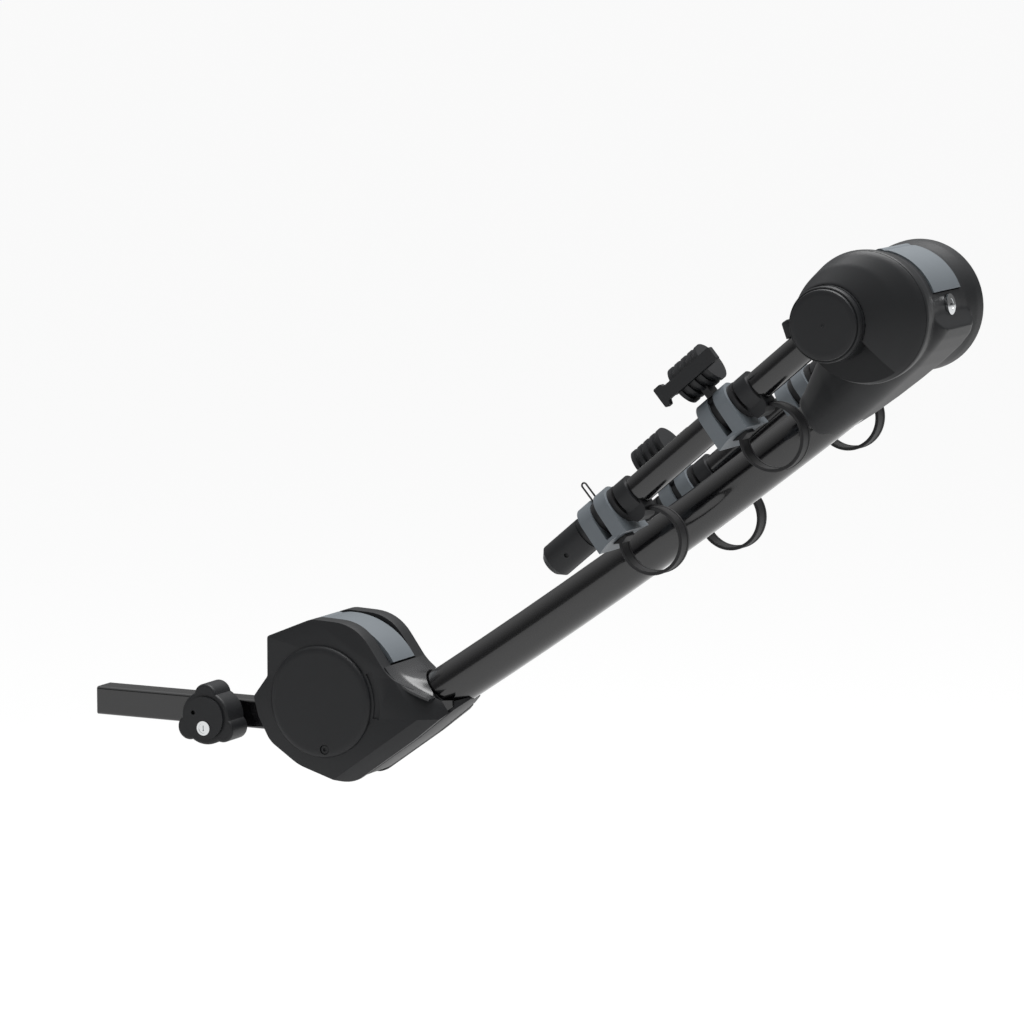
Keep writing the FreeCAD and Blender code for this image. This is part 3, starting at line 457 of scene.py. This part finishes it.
class RACK_OT_base(bpy.types.Operator):
    """Makes the side covers with their bevelled tail, their discs and the saddle round the mast"""
    bl_idname = "rack.base"
    bl_label = "Base housing"

    face = 50.0
    inner = 29.4
    floor = -92.0
    tip = 138.0
    disc = 61.7
    screw = polar(52.7, -119)

    def tail(self, mesh):
        """Narrows the tail on both sides."""
        mesh = trimmed(mesh, (88, self.face + 1, 0), (43, 56, 0))
        return trimmed(mesh, (88, -self.face - 1, 0), (43, -56, 0))

    def cover(self):
        rim = rounded([
            (-15, 94, 4), polar(91, 62) + (30,), polar(98, 28) + (70,), (86, -22, 60), (119, -79, 18),
            (self.tip, self.floor + 7, 0), (self.tip, self.floor + 4, 0), (66, self.floor, 120),
            (-28, self.floor, 24), (-66, -42, 60), (-81, -2, 30), (-77, 28, 6), (-69, 49, 6), (-41, 58, 6)])
        mesh = self.tail(prism(rim, self.inner, self.face))
        return trimmed(mesh, (0, self.face - 15, self.floor), (0, 14, -15))

    def cap(self):
        """The disc: a soft edge, then a flat face."""
        return turned([
            (0, self.face - 3), (self.disc - 5, self.face - 3), (self.disc - 5, self.face), (self.disc, self.face),
            (self.disc, self.face + 1.6), (self.disc - 0.8, self.face + 3.1), (self.disc - 2.6, self.face + 4.3),
            (self.disc - 5.4, self.face + 4.9), (self.disc - 9, self.face + 5), (0, self.face + 5)])

    def crescent(self):
        """The shallow recess beside the disc, widest at its middle."""
        outer = arc((1.6, -0.8), self.disc + 9.0, -48, -4, 24)
        inner = arc((0, 0), self.disc + 3.2, -4, -48, 24)
        return prism(outer + inner, self.face - 1.8, self.face + 2)

    def core(self):
        """The moulding between the side plates, open round the tilt bolt."""
        rim = rounded([
            polar(85, -7) + (0,), (89, -33, 22), (104, -42, 2), (117, -78, 8), (self.tip, self.floor + 7, 0),
            (self.tip, self.floor + 4, 0), (66, self.floor, 120), (-28, self.floor, 24), polar(58, -122) + (0,)])
        return self.tail(prism(rim + arc((0, 0), 58, -121, -7, 48) , -25.4, 25.4))

    def saddle(self):
        """A skin that runs from the lever's end, flat, to a crisp lip arched over the mast."""
        edge = [(87.6, -10), (88.4, -21), (91.8, -33), (98.8, -47), (107, -59), (113.4, -67)]
        crest = [(88.0, -10), (90.2, -18.5), (94, -25), (98.4, -29.6), (103.2, -32.4), (108.5, -34)]
        rings = []
        for i in range(len(edge)):
            t = i / (len(edge) - 1)
            top = []
            low = []
            for k in range(33):
                y = -47 + 94 * k / 32
                arch = math.sqrt(max(0.0, 1 - (y / 30.0) ** 2))
                side = min(1.0, max(0.0, (47 - abs(y)) / 20))
                level = (1 - t) * side + t * arch
                x = edge[i][0] + (crest[i][0] - edge[i][0]) * level
                z = edge[i][1] + (crest[i][1] - edge[i][1]) * level
                top.append((x, y, z))
                low.append((x - 2.2, y, z - 1.2))
            rings.append(top + low[::-1])
        return lofted(rings)

    def execute(self, context):
        place = mast_frame(TILT)
        for side, sign in (("near", -1), ("far", 1)):
            flip = place @ Matrix.Diagonal((1, sign, 1, 1))
            cover = piece("base_shell_" + side, self.cover(), flip, black_nylon(), "mast")
            cut(cover, self.crescent(), flip)
            bevelled(cover, 0.0026)
            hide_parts("base_cover_" + side)
            cap = piece("base_cap_" + side, self.cap(), flip, black_nylon(), "mast", sharp=50)
            hole = prism(arc(self.screw, 5.4, 0, 345, 23), self.face + 1.5, self.face + 9)
            cut(cap, hole, flip)
            smooth(cap, 50)
            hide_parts("base_disc_" + side)
        core = piece("base_core", self.core(), place, black_nylon(), "mast", bevel=0.0012)
        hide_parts("base_saddle")
        piece("saddle_skin", self.saddle(), place, polished_nylon(), "mast", sharp=50)
        return {"FINISHED"}


def bevelled(thing, width):
    """Rounds an object's sharp edges and shades it smooth."""
    rounding = thing.modifiers.new("rounded edges", "BEVEL")
    rounding.width = width
    rounding.segments = 3
    rounding.limit_method = "ANGLE"
    rounding.angle_limit = math.radians(40)
    flatten(thing)
    smooth(thing)


# Head

class RACK_OT_head(bpy.types.Operator):
    """Makes the head's rounded casing with its lever pocket and the hubs' discs"""
    bl_idname = "rack.head"
    bl_label = "Head casing and discs"

    drum = polar(25.5, -24.5)
    neck = 41.0
    hub = 39.2

    def barrel(self):
        """The drum across the arm pivot, flared at its rims and drawn in to the hubs."""
        stations = [(106, 0.0, self.neck), (105, 0.04, self.neck + 1.1), (94, 0.58, 57.0), (84, 1.04, 65.8),
                    (80, 1.14, 68.2), (77, 1.15, 69.0), (64, 1.12, 68.2), (46, 1.02, 65.4), (30, 1, 65), (0, 1, 65)]
        both = stations + [(-y, k, r) for y, k, r in stations[-2::-1]]
        rings = []
        for y, k, r in both:
            centre = (self.drum[0] * k, self.drum[1] * k)
            rings.append([(x, y, z) for x, z in arc(centre, r, 0, 360 - 360 / 120, 119)])
        return lofted(rings)

    def skirt(self):
        """The lower casing along the mast, from the mouth round the tube to the rounded rear."""
        sections = [(-110, 30, -83, -31, 25), (-100, 32.5, -84, -27, 26), (-62, 45, -85.5, -8, 32),
                    (-30, 58, -84.5, 3, 38), (0, 68, -82.5, 12, 42), (30, 69, -80, 4, 40), (52, 66, -76, -12, 30),
                    (68, 60, -71.5, -20, 24), (78, 50, -66, -26, 19)]
        rings = []
        for x, half, low, high, corner in sections:
            ring = []
            for cy, cz, start in ((half - corner, high - corner, 0), (-half + corner, high - corner, 90),
                                  (-half + corner, low + corner, 180), (half - corner, low + corner, 270)):
                for k in range(13):
                    a = math.radians(start + 90 * k / 12)
                    ring.append((x, cy + corner * math.cos(a), cz + corner * math.sin(a)))
            rings.append(ring)
        return lofted(rings)

    def lug(self, side):
        return prism([(-51, 8), (-40, 5), (-36, 30), (-45, 30)], side * 86, side * 103)

    def shell(self, place):
        """The outer form as one moulding with soft inner corners."""
        mesh = joined([self.barrel(), self.skirt(), self.lug(1), self.lug(-1)])
        bmesh.ops.recalc_face_normals(mesh, faces=mesh.faces)
        thing = piece("head_shell", mesh, place, black_nylon(), "mast")
        grid = thing.modifiers.new("one moulding", "REMESH")
        grid.mode = "VOXEL"
        grid.voxel_size = 0.0013
        soft = thing.modifiers.new("soft corners", "SMOOTH")
        soft.factor = 0.5
        soft.iterations = 14
        flatten(thing)
        return thing

    def rooms(self):
        """The pocket of the lever, the latch's well, the bores and the arms' way."""
        w = 37.6
        ring = [polar(80, a, self.drum) for a in range(-15, 83, 4)]
        lower = [polar(57.5, a, self.drum) for a in range(81, -16, -4)]
        yield prism(ring + lower, -w, w)
        yield prism(arc(polar(60, 52, self.drum), 8.6, 0, 345, 23), -w, w)
        yield prism([polar(30, 6), polar(60, 12), polar(66, 30), polar(62, 50), polar(52, 70), polar(30, 92)], -6, 6)
        yield turned([(0, -8), (34.6, -8), (34.6, 8), (0, 8)])
        yield turned([(0, -90), (13.5, -90), (13.5, 90), (0, 90)], 48)
        for side in (-1, 1):
            way = [polar(17.4, 94.7), polar(125, 176.7), polar(125, 229.7), polar(125, 282.7), polar(17.4, 364.7)]
            yield prism(way, side * 83.6, side * 112)
            yield turned([(0, side * 84.2), (self.hub + 0.6, side * 84.2), (self.hub + 0.6, side * 110),
                          (0, side * 110)])
        for side in (-1, 1):
            seam = turned([(67.0, side * 79.7), (73, side * 79.4), (73, side * 80.5), (67.0, side * 80.2)])
            bmesh.ops.bridge_loops(seam, edges=[edge for edge in seam.edges if edge.is_boundary])
            bmesh.ops.translate(seam, verts=seam.verts, vec=(self.drum[0] * 1.14, 0, self.drum[1] * 1.14))
            yield seam

    def round_tools(self):
        """Round bars for the lock's hole and the mouth round the mast."""
        lock = turned([(0, 40), (8.6, 40), (8.6, 90), (0, 90)], 48)
        lock.transform(Matrix.Rotation(math.radians(-90), 4, "Z"))
        lock.transform(Matrix.Rotation(math.radians(27), 4, "Y"))
        lock.transform(Matrix.Translation((self.drum[0], 0, self.drum[1])))
        mouth = turned([(0, -125), (27.6, -125), (27.6, -99), (0, -99)], 64)
        mouth.transform(Matrix.Rotation(math.radians(-90), 4, "Z"))
        mouth.transform(Matrix.Translation((0, 0, -61.4)))
        return lock, mouth

    def disc(self):
        """A hub with its cap: a rim, a groove, a flat face and a tiny dimple at its centre."""
        return turned([
            (0, 84.7), (self.hub, 84.7), (self.hub, 115.6), (self.hub - 0.5, 117), (self.hub - 1.6, 117.6),
            (self.hub - 1.9, 116.8), (self.hub - 2.6, 116.8), (self.hub - 2.8, 119.6), (self.hub - 3.4, 121),
            (self.hub - 5, 121.8), (30, 122), (1.8, 122), (1.2, 121.2), (0, 121)])

    def execute(self, context):
        place = mast_frame(HEAD)
        shell = self.shell(place)
        for room in self.rooms():
            cut(shell, room, place)
        for tool in self.round_tools():
            cut(shell, tool, place)
        smooth(shell)
        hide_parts("head_casing", "head_bowl_near", "head_bowl_far")
        for side, sign in (("near", -1), ("far", 1)):
            flip = place @ Matrix.Diagonal((1, sign, 1, 1))
            disc = piece("hub_disc_" + side, self.disc(), flip, black_nylon(), "arms", sharp=40)
            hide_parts("arm_hub_" + side, "hub_cap_" + side)
        return {"FINISHED"}


# Straps

class RACK_OT_straps(bpy.types.Operator):
    """Makes the rubber straps with a lip along each edge"""
    bl_idname = "rack.straps"
    bl_label = "Rubber straps"

    seats = {"high": 150.0, "low": 328.0}
    lead = 27.0
    rise = 51.0
    root_angle = -33.0
    tail_angle = 236.0

    def band(self, x):
        """The loop: a web between two lips, narrowing to a rounded tab at its free end."""
        size = fittings()
        centre = (x - self.lead, self.rise)
        half = size.strap_width / MM / 2
        lip = size.strap_lip / MM
        thick = size.strap_thickness / MM / 2
        web = size.strap_web / MM / 2
        middle = size.strap_radius / MM - thick
        section = [
            (-half, -thick * 0.6), (-half, thick * 0.6), (-half + 0.7, thick), (-half + lip - 0.8, thick),
            (-half + lip, web), (half - lip, web), (half - lip + 0.8, thick), (half - 0.7, thick),
            (half, thick * 0.6), (half, -thick * 0.6), (half - 0.7, -thick), (half - lip + 0.8, -thick),
            (half - lip, -web), (-half + lip, -web), (-half + lip - 0.8, -thick), (-half + 0.7, -thick)]
        steps = 72
        rings = []
        for i in range(steps + 1):
            turn = self.tail_angle + (self.root_angle - self.tail_angle) * i / steps
            a = math.radians(turn)
            tab = min(1.0, 0.62 + 0.38 * math.sqrt(min(1.0, i / 4)))
            ring = []
            for across, out in section:
                r = middle + out
                ring.append((centre[0] + r * math.cos(a), ARM_Y / MM + across * tab, centre[1] + r * math.sin(a)))
            rings.append(ring)
        return lofted(rings)

    def foot(self, x):
        """The block that sits on the cradle's seat."""
        half = fittings().strap_width / MM / 2
        centre = (x - self.lead, self.rise)
        outer = arc(centre, fittings().strap_radius / MM, self.root_angle, self.root_angle, 1)[0]
        inner = arc(centre, (fittings().strap_radius - fittings().strap_thickness) / MM,
                    self.root_angle, self.root_angle, 1)[0]
        seat = 28.0
        points = [inner, (x - 4, seat + 4.6), (x - 9, seat + 3.4), (x - 9, seat), (x + 9, seat), outer]
        return prism(points, ARM_Y / MM - half, ARM_Y / MM + half)

    def execute(self, context):
        for level, x in self.seats.items():
            for side, sign in (("near", -1), ("far", 1)):
                name = "strap_%s_%s" % (level, side)
                strap = piece("rubber_" + name, joined([self.band(x), self.foot(x)]), arm_frame(sign),
                              rubber(), name + "_body", sharp=28.0)
                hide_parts(name)
        return {"FINISHED"}


# Pull loops

class RACK_OT_pull_loops(bpy.types.Operator):
    """Makes the thin wire loops under two of the cradles"""
    bl_idname = "rack.pull_loops"
    bl_label = "Wire loops"

    def loop(self, x):
        wire = fittings().wire / MM / 2
        half = 3.7 - wire
        top = -20.8
        end = top - 24.0 + half + wire
        path = [(x - half, top, 0), (x - half, end, 0)]
        line = [(x - half, top + (end - top) * i / 4) for i in range(5)]
        line += arc((x, end), half, 180, 360, 12)[1:]
        line += [(x + half, end + (top - end) * i / 4) for i in range(1, 5)]
        rings = []
        for i, (px, pz) in enumerate(line):
            before = line[max(0, i - 1)]
            after = line[min(len(line) - 1, i + 1)]
            run = Vector((after[0] - before[0], 0, after[1] - before[1])).normalized()
            side = run.cross(Vector((0, 1, 0)))
            ring = []
            for k in range(12):
                a = 2 * math.pi * k / 12
                ring.append(Vector((px, ARM_Y / MM, pz)) + side * wire * math.cos(a)
                            + Vector((0, wire * math.sin(a), 0)))
            rings.append(ring)
        return lofted(rings)

    def execute(self, context):
        near = self.loop(328.0)
        near.transform(arm_frame(-1))
        far = self.loop(150.0)
        far.transform(arm_frame(1))
        wires = piece("wire_pull_loops", joined([near, far]), Matrix.Identity(4), wire_coat(), "arms")
        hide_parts("pull_loops")
        return {"FINISHED"}


# Finishes of the pieces that keep their CAD shape

class RACK_OT_tubes(bpy.types.Operator):
    """Coats the mast, arms, shank and plates in glossy black"""
    bl_idname = "rack.tubes"
    bl_label = "Coated tubes and plates"

    def execute(self, context):
        paint(["mast_tube", "hitch_shank", "bracket_cheeks"] + pair("arm_tube", "side_plate"), black_coat())
        return {"FINISHED"}


class RACK_OT_black_mouldings(bpy.types.Operator):
    """Gives the knob, the cover screws, the arms' end caps and the cages their black grain"""
    bl_idname = "rack.black_mouldings"
    bl_label = "Black mouldings"

    def execute(self, context):
        paint(["pin_knob", "base_screws"] + pair("arm_end_cap", "sway_cage"), black_nylon())
        return {"FINISHED"}


class RACK_OT_grey_mouldings(bpy.types.Operator):
    """Gives the levers, cradles and catch blocks their grey grain"""
    bl_idname = "rack.grey_mouldings"
    bl_label = "Grey mouldings"

    def execute(self, context):
        names = ["tilt_lever", "fold_lever"] + pair("cradle_high", "cradle_low")
        paint(names, grey_nylon())
        paint(pair("strap_buckles"), black_nylon())
        return {"FINISHED"}


class RACK_OT_sleeves(bpy.types.Operator):
    """Gives the sleeves inside the cradles their rubber"""
    bl_idname = "rack.sleeves"
    bl_label = "Cradle sleeves"

    def execute(self, context):
        paint(pair("cradle_pads"), rubber())
        return {"FINISHED"}


class RACK_OT_steel(bpy.types.Operator):
    """Plates the bolts, pins, wheels and frames, and chromes the locks"""
    bl_idname = "rack.steel"
    bl_label = "Plated steel and locks"

    def execute(self, context):
        paint(["latch_wheel", "pivot_bolt", "pivot_nut", "pivot_washers", "hitch_pin", "pivot_bushes",
               "tilt_lever_pin", "tilt_pawl", "tilt_pawl_pin", "head_frame", "fold_lever_pin",
               "fold_pawl", "fold_pawl_pin", "arm_shaft"], zinc_steel())
        paint(["knob_lock_barrel", "knob_lock_plug", "head_lock_barrel", "head_lock_plug"], chrome())
        return {"FINISHED"}


# Stage

class RACK_OT_stage(bpy.types.Operator):
    """Sets the pale floor, the soft studio light and the camera"""
    bl_idname = "rack.stage"
    bl_label = "Floor, light and camera"

    camera_place = (2.66505, -4.67241, 0.96085)

    def floor(self, settings):
        bpy.ops.mesh.primitive_plane_add(size=400, location=(0, 0, -settings.floor_drop))
        plane = bpy.context.object
        plane.name = "studio_floor"
        material, tree, shader = new_material("studio_floor_matte_white")
        shader.inputs["Base Color"].default_value = settings.floor
        shader.inputs["Roughness"].default_value = 0.9
        shader.inputs["Specular IOR Level"].default_value = 0.1
        path = add_node(tree, "ShaderNodeLightPath")
        seen = add_node(tree, "ShaderNodeMath", {0: path.outputs["Is Camera Ray"], 1: path.outputs["Is Glossy Ray"]},
                        operation="MAXIMUM")
        part = add_node(tree, "ShaderNodeMath", {0: seen.outputs[0]}, {1: 0.85}, operation="MULTIPLY")
        glow = add_node(tree, "ShaderNodeEmission", values={"Color": (1, 1, 1, 1), "Strength": 1.0})
        mix = add_node(tree, "ShaderNodeMixShader", {0: part.outputs[0], 1: shader.outputs["BSDF"],
                                                     2: glow.outputs[0]})
        output = [node for node in tree.nodes if node.type == "OUTPUT_MATERIAL"][0]
        tree.links.new(mix.outputs[0], output.inputs["Surface"])
        plane.data.materials.append(material)

    def world(self, settings):
        """White to the camera; to every other ray a soft light, dim at the horizon and growing to the fill strength
        overhead.
        """
        world = bpy.data.worlds.new("studio")
        bpy.context.scene.world = world
        world.use_nodes = True
        tree = world.node_tree
        tree.nodes.clear()
        path = add_node(tree, "ShaderNodeLightPath")
        place = add_node(tree, "ShaderNodeTexCoord")
        parts = add_node(tree, "ShaderNodeSeparateXYZ", {0: place.outputs["Generated"]})
        height = add_node(tree, "ShaderNodeMapRange", {"Value": parts.outputs["Z"]},
                          {"From Min": 0.15, "From Max": 0.95, "To Min": 0.16, "To Max": settings.fill},
                          interpolation_type="SMOOTHSTEP")
        even = add_node(tree, "ShaderNodeBackground", {"Strength": height.outputs[0]}, {"Color": (1, 1, 1, 1)})
        white = add_node(tree, "ShaderNodeBackground", values={"Color": (1, 1, 1, 1), "Strength": 1.0})
        mix = add_node(tree, "ShaderNodeMixShader", {0: path.outputs["Is Camera Ray"], 1: even.outputs[0],
                                                     2: white.outputs[0]})
        output = add_node(tree, "ShaderNodeOutputWorld")
        tree.links.new(mix.outputs[0], output.inputs["Surface"])

    def lamp(self, name, place, target, size, power):
        light = bpy.data.lights.new(name, "AREA")
        light.shape = "DISK"
        light.size = size
        light.energy = power
        lamp = bpy.data.objects.new(name, light)
        lamp.location = place
        lamp.rotation_euler = (Vector(target) - Vector(place)).to_track_quat("-Z", "Y").to_euler()
        bpy.context.scene.collection.objects.link(lamp)

    def camera(self, settings):
        aim = (CAD_BOX[0] + CAD_BOX[1]) / 2
        data = bpy.data.cameras.new("camera")
        data.lens = settings.lens
        data.sensor_width = 36
        camera = bpy.data.objects.new("camera", data)
        camera.location = self.camera_place
        camera.rotation_euler = (aim - Vector(self.camera_place)).to_track_quat("-Z", "Y").to_euler()
        bpy.context.scene.collection.objects.link(camera)
        bpy.context.scene.camera = camera

    def execute(self, context):
        settings = context.scene.rack_stage
        self.floor(settings)
        self.world(settings)
        self.lamp("overhead_soft_box", (0.6, 0.4, 2.6), (0.4, 0, 0.2), 2.2, settings.key)
        self.camera(settings)
        context.scene.view_settings.view_transform = "Standard"
        return {"FINISHED"}


class RACK_PT_panel(bpy.types.Panel):
    """Lists the rack's settings and its makers"""
    bl_idname = "RACK_PT_panel"
    bl_label = "Bike rack"
    bl_space_type = "VIEW_3D"
    bl_region_type = "UI"
    bl_category = "Bike Rack"

    def draw(self, context):
        for group in (context.scene.rack_finish, context.scene.rack_fittings, context.scene.rack_stage):
            for name in group.__annotations__:
                self.layout.prop(group, name)
        for maker in MAKERS:
            self.layout.operator(maker.bl_idname)


MAKERS = (
    RACK_OT_tubes, RACK_OT_black_mouldings, RACK_OT_grey_mouldings, RACK_OT_sleeves, RACK_OT_steel,
    RACK_OT_base, RACK_OT_head, RACK_OT_straps, RACK_OT_pull_loops, RACK_OT_stage)
CLASSES = (RackFinish, RackFittings, RackStage) + MAKERS + (RACK_PT_panel,)


def register():
    for kind in CLASSES:
        bpy.utils.register_class(kind)
    bpy.types.Scene.rack_finish = PointerProperty(type=RackFinish)
    bpy.types.Scene.rack_fittings = PointerProperty(type=RackFittings)
    bpy.types.Scene.rack_stage = PointerProperty(type=RackStage)


def unregister():
    del bpy.types.Scene.rack_stage
    del bpy.types.Scene.rack_fittings
    del bpy.types.Scene.rack_finish
    for kind in reversed(CLASSES):
        bpy.utils.unregister_class(kind)


def main():
    register()
    for maker in MAKERS:
        group, name = maker.bl_idname.split(".")
        getattr(getattr(bpy.ops, group), name)()


if __name__ == "__main__":
    main()
